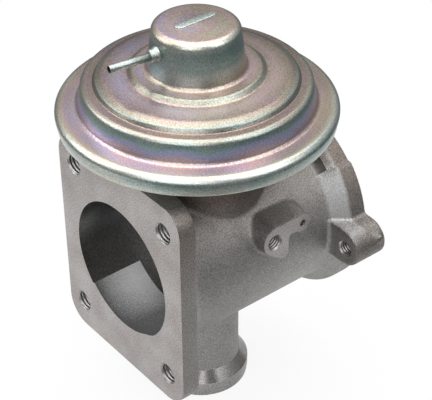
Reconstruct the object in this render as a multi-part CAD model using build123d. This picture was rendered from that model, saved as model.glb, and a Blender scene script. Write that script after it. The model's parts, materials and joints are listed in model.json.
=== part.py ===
from build123d import *
import math
import os

# Vacuum-operated exhaust gas recirculation valve, in millimetres.
# The origin is the centre of the bolt pattern on the face of the square flange. The intake duct
# runs along +Y, the valve stem moves along +Z, and the exhaust port opens downwards.

# Intake duct and square flange
bore_r = 25.0
duct_wall = 6.2
duct_length = 80.0
flange_width = 67.6
flange_height = 81.0
flange_t = 7.0
flange_corner_r = 9.0
flange_blend_r = 2.2
flange_edge_r = 0.8
flange_hole_spacing_x = 50.0
flange_hole_spacing_z = 60.0
flange_hole_r = 3.4

# Cast floor pad in the front of the bore
pad_t = 1.0
pad_length = 20.0
pad_half_angle = 46.0

# Hose socket and collar at the rear end
socket_step = 3.5
socket_depth = 15.0
socket_lead_in = 1.2
ramp_start = 12.5
ramp_length = 6.0
collar_t = 3.7
band_t = 1.1
band_root = 1.0
band_gap_half_angle = 48.0
clip_slot_angle = 47.7
clip_slot_length = 3.8
clip_slot_width = 5.2
clip_slot_floor = 1.2
clip_slot_from_end = 10.8

# Valve axis and the pedestal that carries the vacuum capsule
valve_y = 34.0
pedestal_r = 23.5
pedestal_blend_r = 1.5
guide_boss_r = 9.0
guide_boss_end = 19.0

# Exhaust port with its clamp rim
neck_r = 13.9
neck_blend_r = 2.0
port_r = 9.5
port_face = -63.0
rim_r = 17.3
rim_foot_r = 17.0
rim_land = 3.2
rim_height = 5.7
rim_cone = 4.2

# Threaded bracket boss on the right of the duct
boss_face_x = 34.0
boss_depth = 13.0
boss_draft = 7.0
boss_hole_y = 39.6
boss_hole_z = 12.4
boss_big_y = 40.2
boss_big_z = 13.0
boss_big_r = 5.5
boss_toe_y = 43.4
boss_toe_z = 6.3
boss_toe_r = 2.3
boss_tip_y = 51.8
boss_tip_z = 14.9
boss_tip_r = 3.4
boss_arm_z = 15.5
boss_arm_width = 5.8
boss_hole_depth = 9.0
boss_dimple_r = 1.2
boss_dimple_depth = 3.0

# Threaded lug beside the collar
lug_x = 38.9
lug_z = -0.3
lug_r = 6.9
lug_length = 13.0
lug_hole_offset = 0.6

# M6 threads in the boss and the lug, by core radius
bracket_thread_r = 2.5

# Valve seat ring, poppet and stem
seat_pocket_r = 13.5
seat_ring_r = 12.0
seat_ring_height = 4.0
seat_ring_top = -26.0
seat_bore_r = 9.0
seat_lash = 0.1
poppet_r = 10.6
poppet_edge = 1.1
poppet_t = 3.3
poppet_hub_r = 4.5
poppet_hub_height = 2.0
poppet_flare = 1.0
poppet_flare_height = 0.6
stem_r = 3.0
stem_foot_r = 2.2
stem_rivet_r = 3.4
stem_rivet_t = 1.0
stem_tip_chamfer = 0.4
valve_lift = 6.0

# Soot cup on the stem
soot_cup_r = 10.6
soot_cup_t = 0.8
soot_cup_bottom = 11.0
soot_cup_height = 4.5

# Guide bush, stem seal and seal retainer
bush_r = 6.0
bush_recess = 1.0
stem_clearance = 0.03
seal_r = 8.0
seal_t = 2.5
retainer_hole_r = 4.0
passage_r = 4.5

# Capsule gasket, screws and pressed steel shells
gasket_t = 1.0
gasket_margin = 1.0
hole_clearance = 0.2
screw_count = 4
screw_circle_r = 16.0
screw_r = 2.0
screw_length = 9.0
screw_head_r = 3.6
screw_head_t = 2.0
shell_t = 1.1
lower_hole_r = 4.4
lower_depth = 7.6
lower_draft = 7.0
lower_bends = [2.5, 1.0]
vent_count = 3
vent_circle_r = 27.5
vent_r = 1.6
vent_start_angle = 90.0
bead_t = 3.6
bead_width = 3.4
bead_side_gap = 0.4

# Pressed cover of the capsule, outside: the cap, then the width of each ledge and step outwards
cap_r = 14.3
cap_draft = 2.0
crown_ledge = 5.0
crown_step = 1.6
plateau_width = 10.5
plateau_edge_width = 0.7
annulus_width = 3.9
step_draft = 1.6
rim_width = 7.95
rim_undercut = 1.25
crimp_width = 2.7
cap_height = 15.7
crown_height = 1.5
plateau_rise = 0.6
plateau_edge_height = 2.4
step_height = 8.0
cover_bends = [2.3, 1.5, 1.2, 1.0, 1.2, 0.5, 1.4, 1.5, 2.2, 1.2]
cap_rib_length = 15.5
cap_rib_width = 2.2
cap_rib_height = 0.4
cap_rib_x = -1.4
cap_rib_y = 0.85

# Diaphragm, its plates and the return spring
plate_t = 1.0
plate_margin = 2.1
plate_stand = 3.8
membrane_t = 1.4
membrane_side_gap = 2.2
membrane_roll_width = 3.0
cup_t = 1.2
cup_corner_r = 2.0
stop_gap = 0.3
spigot_r = 2.5
washer_r = 6.0
washer_t = 1.0
nut_across_flats = 8.0
nut_t = 4.0
stem_thread_proud = 1.0
spring_r = 10.8
spring_wire_r = 1.0
spring_wire_sides = 8
spring_turns = 6.5
spring_gap = 0.1
spring_seat_r = 12.0
spring_seat_hole_r = 8.0
spring_seat_t = 0.8

# Vacuum nipple
nipple_r = 1.4
nipple_root_r = 1.2
nipple_bore_r = 0.85
nipple_height = 8.8
nipple_tip_r = 32.0
nipple_angle = -96.0
nipple_inside = 0.6
nipple_collar_r = 2.3
nipple_collar_length = 2.4

# Levels and radii that follow from the values above
duct_r = bore_r + duct_wall
socket_r = bore_r + socket_step
cap_foot_r = cap_r + cap_draft
crown_r = cap_foot_r + crown_ledge
crown_foot_r = crown_r + crown_step
plateau_edge_r = crown_foot_r + plateau_width
plateau_foot_r = plateau_edge_r + plateau_edge_width
step_top_r = plateau_foot_r + annulus_width
step_foot_r = step_top_r + step_draft
rim_corner_r = step_foot_r + rim_width
rim_bottom_r = rim_corner_r - rim_undercut
crimp_inner_r = rim_bottom_r - crimp_width
lower_flange_r = rim_bottom_r - shell_t - bead_side_gap / 2
bead_outer_r = rim_bottom_r - shell_t - bead_side_gap
bead_inner_r = bead_outer_r - bead_width
lower_mouth_r = bead_inner_r - bead_width * 2 / 3
lower_floor_r = lower_mouth_r - lower_draft
plate_r = lower_floor_r - plate_margin
membrane_roll_r = plate_r + membrane_side_gap
membrane_top_r = membrane_roll_r + membrane_roll_width
rear_y = duct_length
pedestal_top = flange_height / 2
bush_length = pedestal_top - seal_t - guide_boss_end - bush_recess
lower_shell_bottom = pedestal_top + gasket_t
lower_flange_bottom = lower_shell_bottom + lower_depth
bead_bottom = lower_flange_bottom + shell_t
rim_bottom_z = lower_flange_bottom - shell_t
annulus_z = bead_bottom + bead_t + shell_t
step_top_z = annulus_z + step_height
plateau_edge_z = step_top_z + plateau_edge_height
crown_foot_z = plateau_edge_z + plateau_rise
crown_z = crown_foot_z + crown_height
cap_top = crown_z + cap_height
nipple_z = crown_z + nipple_height
plate_bottom = lower_shell_bottom + plate_stand
diaphragm_bottom = plate_bottom + plate_t
cup_bottom = diaphragm_bottom + membrane_t
washer_bottom = cup_bottom + cup_t
nut_bottom = washer_bottom + washer_t
stem_top = nut_bottom + nut_t + stem_thread_proud
poppet_seat_z = seat_ring_top + seat_lash * math.sqrt(2)
valve_axis = Pos(0, valve_y, 0)


def along_y(sketch, start, length):
    """Extrude a sketch drawn in X and Z from y = start over a length towards +Y."""
    return extrude(Plane.XZ.offset(-start) * sketch, -length)


def tube(outer, inner, bottom, height):
    """A ring about Z, standing on a level."""
    return Pos(0, 0, bottom) * extrude(Circle(outer) - Circle(inner), height)


def rod(radius, bottom, top):
    """A round bar about Z between two levels."""
    return Pos(0, 0, bottom) * extrude(Circle(radius), top - bottom)


def turned(*points):
    """Revolve a closed outline, given as radius and height, about Z."""
    return revolve(Plane.XZ * make_face(Polyline(*points, close=True)), Axis.Z)


def pressed(points, radii, thickness, side):
    """Revolve a bent sheet whose one face follows the points, with a radius at each bend."""
    edge = FilletPolyline(*points, radius=radii)
    sheet = make_face(offset(edge, thickness, side=side, closed=True))
    return revolve(Plane.XZ * sheet, Axis.Z)


def disc_hull(first, second):
    """The outline that wraps two circles, each given as centre and radius."""
    return make_hull((Pos(*first[0]) * Circle(first[1]) + Pos(*second[0]) * Circle(second[1])).edges())


def valve_body():
    """The casting: flange, duct, collar, pedestal, port neck, boss and lug, then every machined cut."""
    flange = along_y(RectangleRounded(flange_width, flange_height, flange_corner_r), 0, flange_t)
    body = fillet(flange.faces().sort_by(Axis.Y)[-1].edges(), flange_edge_r)
    body += duct_outside()
    upright = rod(pedestal_r, 0, pedestal_top)
    neck = rod(neck_r, port_face, 0)
    body += valve_axis * (upright + neck)
    body = fillet(crossing_edges(body, pedestal_r, 1), pedestal_blend_r)
    body = fillet(crossing_edges(body, neck_r, -1), neck_blend_r)
    body += bracket_boss() + lug() + valve_axis * clamp_rim()
    body -= duct_inside() + clip_slots()
    body += guide_boss()
    body -= valve_axis * valve_cuts()
    body -= flange_holes() + bracket_holes()
    return body


def crossing_edges(body, radius, side):
    """The edges where an upright cylinder about the valve axis meets the duct, above (1) or below (-1)."""
    curved = [e for e in body.edges() if e.geom_type not in (GeomType.LINE, GeomType.CIRCLE)]
    return ShapeList([e for e in curved if meets_upright(e, radius) and e.center().Z * side > 0])


def meets_upright(edge, radius):
    """Whether an edge runs on a cylinder about the valve axis."""
    spots = [edge @ share for share in (0.1, 0.5, 0.9)]
    return all(abs(math.hypot(p.X, p.Y - valve_y) - radius) < 0.01 for p in spots)


def duct_outside():
    """The duct with the blend behind the flange and the collar at the rear, turned about Y."""
    ramp_foot = rear_y - ramp_start
    ramp_top = ramp_foot + ramp_length
    foot = flange_t + flange_blend_r
    outline = (
        Polyline((0, 0), (duct_r + flange_blend_r, 0), (duct_r + flange_blend_r, flange_t))
        + RadiusArc((duct_r + flange_blend_r, flange_t), (duct_r, foot), -flange_blend_r)
        + Polyline((duct_r, foot), (duct_r, ramp_foot), (duct_r + collar_t, ramp_top),
                   (duct_r + collar_t, rear_y), (0, rear_y), (0, 0))
    )
    band_r = duct_r + collar_t + band_t
    band = make_face(Polyline(
        (duct_r - band_root, ramp_foot), (duct_r, ramp_foot), (band_r, ramp_top), (band_r, rear_y),
        (duct_r - band_root, rear_y), close=True))
    top_gap = wedge(band_r * 2, 90 - band_gap_half_angle, 90 + band_gap_half_angle)
    raised = revolve(band, Axis.Y) - along_y(top_gap, 0, rear_y)
    return revolve(make_face(outline), Axis.Y) + raised


def wedge(reach, first_angle, last_angle):
    """A triangle from the centre between two angles, for cutting a sector."""
    half = math.radians(last_angle - first_angle) / 2
    middle = math.radians(first_angle + last_angle) / 2
    corners = [(reach * math.cos(middle + s * half), reach * math.sin(middle + s * half)) for s in (-1, 1)]
    return make_face(Polyline((0, 0), *corners, close=True))


def clamp_rim():
    """The conical clamp rim at the foot of the port neck."""
    land_top = port_face + rim_height
    cone_top = land_top + rim_cone
    return turned((0, port_face), (rim_foot_r, port_face), (rim_r, land_top - rim_land), (rim_r, land_top),
                  (neck_r, cone_top), (0, cone_top))


def boss_outline():
    """The machined face of the bracket boss: a big end round the thread and an arm to a small end."""
    big = ((boss_big_y, boss_big_z), boss_big_r)
    toe = ((boss_toe_y, boss_toe_z), boss_toe_r)
    arm_length = boss_tip_y - boss_big_y
    arm = Pos(boss_big_y + arm_length / 2, boss_arm_z) * Rectangle(arm_length, boss_arm_width)
    tip = Pos(boss_tip_y, boss_tip_z) * Circle(boss_tip_r)
    return disc_hull(big, toe) + arm + tip


def bracket_boss():
    """The drafted boss on the right side of the duct."""
    return extrude(Plane.YZ.offset(boss_face_x) * boss_outline(), -boss_depth, taper=-boss_draft)


def lug():
    """The rounded lug beside the collar."""
    outline = Pos(lug_x, lug_z) * Circle(lug_r) + Pos(lug_x / 2, lug_z) * Rectangle(lug_x, 2 * lug_r)
    return along_y(outline, rear_y - lug_length, lug_length)


def duct_inside():
    """The machined bore with its cast floor pad left standing, and the hose socket at the rear."""
    ring = Circle(bore_r + pad_t) - Circle(bore_r - pad_t)
    pad = ring & wedge(bore_r * 2, -90 - pad_half_angle, -90 + pad_half_angle)
    bore = along_y(Circle(bore_r), 0, duct_length) - along_y(pad, 0, pad_length)
    socket = along_y(Circle(socket_r), rear_y - socket_depth, socket_depth)
    mouth = Plane.XZ.offset(-rear_y) * Circle(socket_r + socket_lead_in)
    lead_in = extrude(mouth, socket_lead_in, taper=45)
    return bore + socket + lead_in


def clip_slots():
    """The pockets in the collar for the ends of the hose clip."""
    reach = duct_r + collar_t + band_t
    size = Box(reach, clip_slot_length, clip_slot_width, align=(Align.MIN, Align.CENTER, Align.CENTER))
    slot = Pos(socket_r + clip_slot_floor, rear_y - clip_slot_from_end, 0) * size
    angles = (clip_slot_angle, 180 - clip_slot_angle)
    return Part() + [Rot(0, -angle, 0) * slot for angle in angles]


def guide_boss():
    """The boss in the roof of the duct that carries the guide bush."""
    roof = pedestal_top - (pedestal_top - bore_r) / 2
    return valve_axis * rod(guide_boss_r, guide_boss_end, roof)


def valve_cuts():
    """The port, the seat pocket and the stepped bore in the pedestal."""
    seat_floor = seat_ring_top - seat_ring_height
    bush_top = pedestal_top - seal_t
    port = rod(port_r, port_face, seat_floor)
    pocket = rod(seat_ring_r, seat_floor, seat_ring_top) + rod(seat_pocket_r, seat_ring_top, 0)
    guide = rod(bush_r, bush_top - bush_length, bush_top) + rod(seal_r, bush_top, pedestal_top)
    passage = rod(passage_r, guide_boss_end, bush_top)
    screws = Part() + [spot * rod(screw_r, pedestal_top - screw_length, pedestal_top) for spot in screw_spots()]
    return port + pocket + guide + passage + screws


def flange_holes():
    """The four threaded holes in the flange."""
    spots = GridLocations(flange_hole_spacing_x, flange_hole_spacing_z, 2, 2)
    return along_y(Sketch() + [spot * Circle(flange_hole_r) for spot in spots], 0, flange_t)


def bracket_holes():
    """The threads in the boss and the lug, and the dimple in the tip of the boss."""
    boss_plane = Plane.YZ.offset(boss_face_x)
    thread = extrude(boss_plane * Pos(boss_hole_y, boss_hole_z) * Circle(bracket_thread_r), -boss_hole_depth)
    dimple = extrude(boss_plane * Pos(boss_tip_y, boss_tip_z) * Circle(boss_dimple_r), -boss_dimple_depth)
    lug_hole = along_y(Pos(lug_x + lug_hole_offset, lug_z) * Circle(bracket_thread_r),
                       rear_y - lug_length, lug_length)
    return thread + dimple + lug_hole


def screw_spots():
    """The places of the capsule screws about the valve axis."""
    return PolarLocations(screw_circle_r, screw_count, start_angle=180 / screw_count)


def port_seat_ring():
    """The hardened ring over the port, with its conical seat."""
    bottom = seat_ring_top - seat_ring_height
    seat_depth = poppet_r - seat_bore_r
    return turned((seat_bore_r, bottom), (seat_ring_r, bottom), (seat_ring_r, seat_ring_top),
                  (poppet_r, seat_ring_top), (seat_bore_r, seat_ring_top - seat_depth))


def valve_poppet():
    """The poppet head, with its 45 degree face just off the seat."""
    edge_top = poppet_seat_z + poppet_edge
    bottom = edge_top - poppet_t
    foot_r = poppet_r - (poppet_seat_z - bottom)
    return turned((stem_foot_r, bottom), (foot_r, bottom), (poppet_r, poppet_seat_z), (poppet_r, edge_top),
                  (poppet_hub_r + poppet_flare, edge_top + poppet_flare_height),
                  (poppet_hub_r, edge_top + poppet_hub_height),
                  (stem_foot_r, edge_top + poppet_hub_height))


def valve_stem():
    """The stem, with a riveted foot under the poppet and a threaded spigot through the diaphragm."""
    poppet_top = poppet_seat_z + poppet_edge + poppet_hub_height
    poppet_bottom = poppet_seat_z + poppet_edge - poppet_t
    stem = rod(stem_r, poppet_top, plate_bottom) + rod(stem_foot_r, poppet_bottom, poppet_top)
    stem += rod(stem_rivet_r, poppet_bottom - stem_rivet_t, poppet_bottom)
    stem += rod(spigot_r, plate_bottom, stem_top)
    return chamfer(stem.faces().sort_by(Axis.Z)[-1].edges(), stem_tip_chamfer)


def soot_cup():
    """The pressed cup on the stem below the guide boss."""
    wall = tube(soot_cup_r, soot_cup_r - soot_cup_t, soot_cup_bottom, soot_cup_height)
    return wall + tube(soot_cup_r, stem_r, soot_cup_bottom, soot_cup_t)


def guide_bush():
    return tube(bush_r, stem_r + stem_clearance, pedestal_top - seal_t - bush_length, bush_length)


def stem_seal():
    return tube(seal_r, stem_r + stem_clearance, pedestal_top - seal_t, seal_t)


def seal_retainer():
    """The washer over the stem seal, clamped by the floor of the lower shell."""
    return tube(seal_r, retainer_hole_r, pedestal_top, gasket_t)


def capsule_gasket():
    """The gasket ring on the pedestal, with its screw holes."""
    ring = tube(pedestal_r - gasket_margin, seal_r + hole_clearance, pedestal_top, gasket_t)
    hole = rod(screw_r + hole_clearance, pedestal_top, pedestal_top + gasket_t)
    return ring - [spot * hole for spot in screw_spots()]


def lower_capsule_shell():
    """The dish under the diaphragm, with its flange, screw holes and breather holes."""
    floor = lower_shell_bottom
    points = [(lower_hole_r, floor), (lower_floor_r, floor), (lower_mouth_r, lower_flange_bottom),
              (lower_flange_r, lower_flange_bottom)]
    shell = pressed(points, lower_bends, shell_t, Side.LEFT)
    screw_hole = rod(screw_r + hole_clearance, floor, floor + shell_t)
    shell -= [spot * screw_hole for spot in screw_spots()]
    vent = rod(vent_r, floor, floor + shell_t)
    return shell - [spot * vent for spot in PolarLocations(vent_circle_r, vent_count, vent_start_angle)]


def capsule_screws():
    """The screws through the floor of the lower shell into the pedestal."""
    under_head = lower_shell_bottom + shell_t
    screw = rod(screw_r, pedestal_top - screw_length, under_head)
    screw += rod(screw_head_r, under_head, under_head + screw_head_t)
    return [spot * screw for spot in screw_spots()]


def cover_outline():
    """The outside of the upper shell, from the middle of the cap to the curled edge of the rim."""
    return [
        (0, cap_top), (cap_r, cap_top), (cap_foot_r, crown_z), (crown_r, crown_z), (crown_foot_r, crown_foot_z),
        (plateau_edge_r, plateau_edge_z), (plateau_foot_r, step_top_z), (step_top_r, step_top_z),
        (step_foot_r, annulus_z), (rim_corner_r, annulus_z), (rim_bottom_r, rim_bottom_z),
        (crimp_inner_r, rim_bottom_z),
    ]


def upper_capsule_shell():
    """The stepped cover, from the spring cap down to the rim that is rolled round the bead."""
    shell = pressed(cover_outline(), cover_bends, shell_t, Side.RIGHT)
    rib = Pos(cap_rib_x, cap_rib_y, cap_top - shell_t / 2) * extrude(
        SlotOverall(cap_rib_length, cap_rib_width, rotation=90), shell_t / 2 + cap_rib_height)
    shell += rib
    return shell - nipple_axis() * rod(nipple_root_r, 0, nipple_tip_r)


def nipple_axis():
    """The line of the nipple, from the valve axis outwards."""
    return Pos(0, 0, nipple_z) * Rot(0, 0, nipple_angle) * Rot(0, 90, 0)


def cap_radius_at(level):
    """The outer radius of the tapered cap at a level."""
    return cap_foot_r + (cap_r - cap_foot_r) * (level - crown_z) / (cap_top - crown_z)


def vacuum_nipple():
    """The tube of the nipple, with a thinner root through the collar and the wall of the cap."""
    start = cap_radius_at(nipple_z) - shell_t - nipple_inside
    shoulder = cap_radius_at(nipple_z) + nipple_collar_length
    root = tube(nipple_root_r, nipple_bore_r, start, shoulder - start)
    return nipple_axis() * (root + tube(nipple_r, nipple_bore_r, shoulder, nipple_tip_r - shoulder))


def nipple_collar():
    """The collar brazed on the cap round the nipple."""
    end = cap_radius_at(nipple_z) + nipple_collar_length
    collar = nipple_axis() * tube(nipple_collar_r, nipple_root_r, 0, end)
    cap = turned((0, crown_z), (cap_foot_r, crown_z), (cap_r, cap_top), (0, cap_top))
    return collar - cap


def diaphragm():
    """The rubber diaphragm: flat centre, rolling fold and the bead clamped in the rim."""
    top = bead_bottom + bead_t / 2
    points = [(spigot_r, diaphragm_bottom), (membrane_roll_r, diaphragm_bottom), (membrane_top_r, top),
              (bead_inner_r + membrane_t, top)]
    sheet = make_face(offset(Polyline(*points), membrane_t, kind=Kind.INTERSECTION, side=Side.LEFT, closed=True))
    return revolve(Plane.XZ * sheet, Axis.Z) + tube(bead_outer_r, bead_inner_r, bead_bottom, bead_t)


def diaphragm_plate():
    return tube(plate_r, spigot_r, plate_bottom, plate_t)


def spring_cup():
    """The deep cup above the diaphragm, whose edge stops against the cover at full lift."""
    cover_inside = plateau_edge_z - shell_t
    edge = cover_inside - valve_lift - stop_gap
    points = [(spigot_r, cup_bottom), (plate_r, cup_bottom), (plate_r, edge)]
    return pressed(points, [cup_corner_r], cup_t, Side.LEFT)


def clamp_washer():
    return tube(washer_r, spigot_r, washer_bottom, washer_t)


def stem_nut():
    hexagon = RegularPolygon(nut_across_flats / 2, 6, major_radius=False)
    return Pos(0, 0, nut_bottom) * extrude(hexagon - Circle(spigot_r), nut_t)


def return_spring():
    """The coil spring between the spring cup and the seat in the cap."""
    bottom = washer_bottom + spring_gap + spring_wire_r
    top = cap_top - shell_t - spring_seat_t - spring_gap - spring_wire_r
    coil = Helix((top - bottom) / spring_turns, top - bottom, spring_r)
    wire = Plane(origin=coil @ 0, z_dir=coil % 0) * RegularPolygon(spring_wire_r, spring_wire_sides)
    return Pos(0, 0, bottom) * sweep(wire, path=coil)


def spring_seat():
    return tube(spring_seat_r, spring_seat_hole_r, cap_top - shell_t - spring_seat_t, spring_seat_t)


nodes = {
    "port_seat_ring": port_seat_ring,
    "valve_poppet": valve_poppet,
    "valve_stem": valve_stem,
    "soot_cup": soot_cup,
    "guide_bush": guide_bush,
    "stem_seal": stem_seal,
    "seal_retainer": seal_retainer,
    "capsule_gasket": capsule_gasket,
    "lower_capsule_shell": lower_capsule_shell,
    "upper_capsule_shell": upper_capsule_shell,
    "vacuum_nipple": vacuum_nipple,
    "nipple_collar": nipple_collar,
    "diaphragm": diaphragm,
    "diaphragm_plate": diaphragm_plate,
    "spring_cup": spring_cup,
    "clamp_washer": clamp_washer,
    "stem_nut": stem_nut,
    "return_spring": return_spring,
    "spring_seat": spring_seat,
}

os.makedirs("parts", exist_ok=True)
export_step(valve_body(), "parts/valve_body.step")
export_step(valve_axis * Compound(capsule_screws()), "parts/capsule_screws.step")
for name, make in nodes.items():
    export_step(valve_axis * make(), f"parts/{name}.step")
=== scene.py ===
# %% [markdown]
# # A vacuum-operated EGR valve
# A car's exhaust gas recirculation valve lets a little exhaust into the intake air. This one has
# three families of surface: a shot-blasted aluminium casting with machined faces, a pressed steel
# capsule with an iridescent plating, and small turned steel pieces inside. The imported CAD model
# comes in as a fixed frame, and everything below is built round it in the same coordinates. The
# measures are written in millimetres, because that is how the part is drawn, and are turned into
# Blender's metres when a mesh is made.

# %% Load the frame
import json
import math

import bmesh
import bpy
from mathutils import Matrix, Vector

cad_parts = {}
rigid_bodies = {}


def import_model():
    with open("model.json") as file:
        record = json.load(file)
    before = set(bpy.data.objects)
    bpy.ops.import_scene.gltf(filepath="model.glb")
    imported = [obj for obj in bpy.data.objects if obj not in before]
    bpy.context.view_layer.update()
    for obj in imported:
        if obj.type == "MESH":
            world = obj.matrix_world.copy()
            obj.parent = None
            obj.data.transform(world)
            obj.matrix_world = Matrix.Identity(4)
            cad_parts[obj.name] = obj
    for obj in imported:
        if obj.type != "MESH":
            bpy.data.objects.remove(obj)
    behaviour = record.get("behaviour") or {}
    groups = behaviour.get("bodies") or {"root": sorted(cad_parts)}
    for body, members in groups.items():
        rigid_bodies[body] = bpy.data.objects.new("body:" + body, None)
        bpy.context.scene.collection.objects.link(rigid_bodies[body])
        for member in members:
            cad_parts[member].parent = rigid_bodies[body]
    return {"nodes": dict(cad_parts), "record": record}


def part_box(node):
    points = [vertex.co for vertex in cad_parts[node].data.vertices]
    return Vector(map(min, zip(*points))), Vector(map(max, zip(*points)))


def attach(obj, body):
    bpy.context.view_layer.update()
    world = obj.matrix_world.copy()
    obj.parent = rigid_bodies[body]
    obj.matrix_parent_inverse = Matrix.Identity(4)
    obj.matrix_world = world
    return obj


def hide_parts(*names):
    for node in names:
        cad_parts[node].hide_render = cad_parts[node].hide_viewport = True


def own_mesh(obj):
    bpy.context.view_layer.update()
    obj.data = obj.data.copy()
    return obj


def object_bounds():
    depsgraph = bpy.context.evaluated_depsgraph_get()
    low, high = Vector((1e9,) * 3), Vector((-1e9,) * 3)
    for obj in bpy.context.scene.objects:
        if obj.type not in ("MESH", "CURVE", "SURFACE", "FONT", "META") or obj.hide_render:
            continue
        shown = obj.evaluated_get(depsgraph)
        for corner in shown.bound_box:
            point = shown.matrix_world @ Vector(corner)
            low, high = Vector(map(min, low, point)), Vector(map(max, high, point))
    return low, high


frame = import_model()
cad_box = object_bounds()
MM = 0.001
print("nodes:", ", ".join(sorted(frame["nodes"])))

# %% [markdown]
# ## Main sizes
# The sizes that the valve is ordered by, such as its bolt pattern, socket, port and threads, are
# read from the frame, so the dressed model can't drift away from the CAD. The outer forms of the
# casting are written here once, and the later cells take them from these names.


# %% Main sizes
def in_mm(metres):
    """A length of the frame in millimetres, to a hundredth."""
    return round(metres / MM, 2)


mounts = {mount["name"]: mount for mount in frame["record"]["mounts"]}
VALVE_Y = in_mm(mounts["port_bore"]["pos_m"][1])
body_low, body_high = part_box("valve_body")
REAR, PEDESTAL_TOP, PORT_END = in_mm(body_high[1]), in_mm(body_high[2]), in_mm(body_low[2])
FLANGE_WIDTH, FLANGE_HEIGHT, FLANGE_CORNER_R, FLANGE_THICKNESS = 67.6, 81.0, 9.0, 7.0
BORE_R, DUCT_R = 25.0, 31.2
RAMP_FOOT, RAMP_TOP, LUG_FRONT = 67.5, 73.5, 67.0
BOSS_FACE = 34.0
print("valve axis at y", VALVE_Y, "mm; casting from z", PORT_END, "to", PEDESTAL_TOP, "mm")

# %% [markdown]
# ## Camera
# A product photograph is taken from some way off with a long lens, so that the near flange isn't
# much larger than the far collar. The place and the three angles were found by matching the round
# edges and bolt holes of the part.

# %% Camera
camera = bpy.data.objects.new("product_camera", bpy.data.cameras.new("product_camera"))
camera.location = (0.3101, -0.2061, 0.2983)
camera.rotation_euler = [math.radians(a) for a in (54.010, 0.336, 51.139)]
camera.data.sensor_width = 36
camera.data.lens = 116.63
camera.data.clip_start = 0.01
bpy.context.scene.collection.objects.link(camera)
bpy.context.scene.camera = camera
print("lens", camera.data.lens, "mm")

# %% [markdown]
# ## Node helpers
# Each finish is a small network of shader nodes. Building one by hand in code means adding a node,
# setting its values and linking its sockets. A helper for each common kind of node keeps that to a
# line, so a finish can be read from top to bottom.


# %% Node helpers
def new_finish(name, roughness, metallic=1.0, colour=(0.5, 0.5, 0.5)):
    """A material with a principled shader; returns the material, its node tree and the shader."""
    finish = bpy.data.materials.new(name)
    finish.use_nodes = True
    tree = finish.node_tree
    shader = tree.nodes["Principled BSDF"]
    shader.inputs["Roughness"].default_value = roughness
    shader.inputs["Metallic"].default_value = metallic
    shader.inputs["Base Color"].default_value = (*colour, 1)
    return finish, tree, shader


def node(tree, kind, inputs=None, **settings):
    """Add a node; inputs holds numbers, or sockets to link from."""
    made = tree.nodes.new(kind)
    for key, value in settings.items():
        setattr(made, key, value)
    for key, value in (inputs or {}).items():
        if isinstance(value, bpy.types.NodeSocket):
            tree.links.new(value, made.inputs[key])
        else:
            made.inputs[key].default_value = value
    return made


def maths(tree, operation, *values):
    """A math node on numbers or sockets; returns its output."""
    return node(tree, "ShaderNodeMath", dict(enumerate(values)), operation=operation).outputs[0]


def vector_maths(tree, operation, *values, output="Vector"):
    """A vector math node; lengths and dot products come out of its Value output."""
    made = node(tree, "ShaderNodeVectorMath", dict(enumerate(values)), operation=operation)
    return made.outputs[output]


def climb(tree, value, start, end, low=0.0, high=1.0, easing="SMOOTHSTEP"):
    """Go from low to high while a value goes from start to end, which may lie below the start."""
    levels = {"Value": value, "From Min": start, "From Max": end, "To Min": low, "To Max": high}
    return node(tree, "ShaderNodeMapRange", levels, interpolation_type=easing).outputs[0]


print("node helpers ready")

# %% [markdown]
# Colours need three more helpers, for a ramp, a mix and a bump. A noise is asked for by the size of
# its features, which says more than a scale does.


# %% Colour, noise and bump helpers
def object_place(tree):
    """The place on the object, in metres."""
    return node(tree, "ShaderNodeTexCoord").outputs["Object"]


def components(tree, vector):
    """The three sockets of a vector."""
    return node(tree, "ShaderNodeSeparateXYZ", {"Vector": vector}).outputs


def ramp(tree, factor, stops):
    """A colour ramp with stops given as (position, colour); a plain number stands for a grey."""
    made = node(tree, "ShaderNodeValToRGB", {"Fac": factor})
    points = made.color_ramp.elements
    for i, (position, colour) in enumerate(stops):
        point = points[i] if i < len(points) else points.new(position)
        point.position = position
        point.color = (*colour, 1) if isinstance(colour, tuple) else (colour, colour, colour, 1)
    return made.outputs["Color"]


def mix_colours(tree, factor, first, second, blend="MIX"):
    """Mix two colours or sockets."""
    made = node(tree, "ShaderNodeMix", data_type="RGBA", blend_type=blend)
    for index, value in ((0, factor), (6, first), (7, second)):
        if isinstance(value, bpy.types.NodeSocket):
            tree.links.new(value, made.inputs[index])
        elif isinstance(value, tuple):
            made.inputs[index].default_value = (*value, 1)
        else:
            made.inputs[index].default_value = value
    return made.outputs[2]


def noise(tree, place, size_mm, detail=2.0):
    """A noise whose features are about that many millimetres across."""
    settings = {"Vector": place, "Scale": 1 / (size_mm * MM), "Detail": detail}
    return node(tree, "ShaderNodeTexNoise", settings).outputs[0]


def raise_surface(tree, shader, height, depth_mm):
    """Link a height pattern to the shader as a bump of that depth."""
    made = node(tree, "ShaderNodeBump", {"Height": height, "Distance": depth_mm * MM, "Strength": 1.0})
    tree.links.new(made.outputs["Normal"], shader.inputs["Normal"])


print("colour helpers ready")

# %% [markdown]
# ## Painted light and marks on the casting
# The casting's tone is changed in places. A painted warm reflection of the capsule tints it higher
# up, painted shade darkens the pedestal below the capsule, more painted shade darkens the right
# sides of the lug and the flange and the collar's band, and painted shade darkens the pad in the
# bore towards its open end. The ramp of the collar is ground lighter, and partly painted light as
# it faces the front. The marks could be painted on a texture by hand, but a mask made of levels in
# millimetres needs no unwrapping, and it can be read here.


# %% Painted light and the ground ramp
def edge(tree, value, start, end, strength=1.0):
    """A straight climb between two levels in millimetres."""
    return climb(tree, value, start * MM, end * MM, high=strength, easing="LINEAR")


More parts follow.
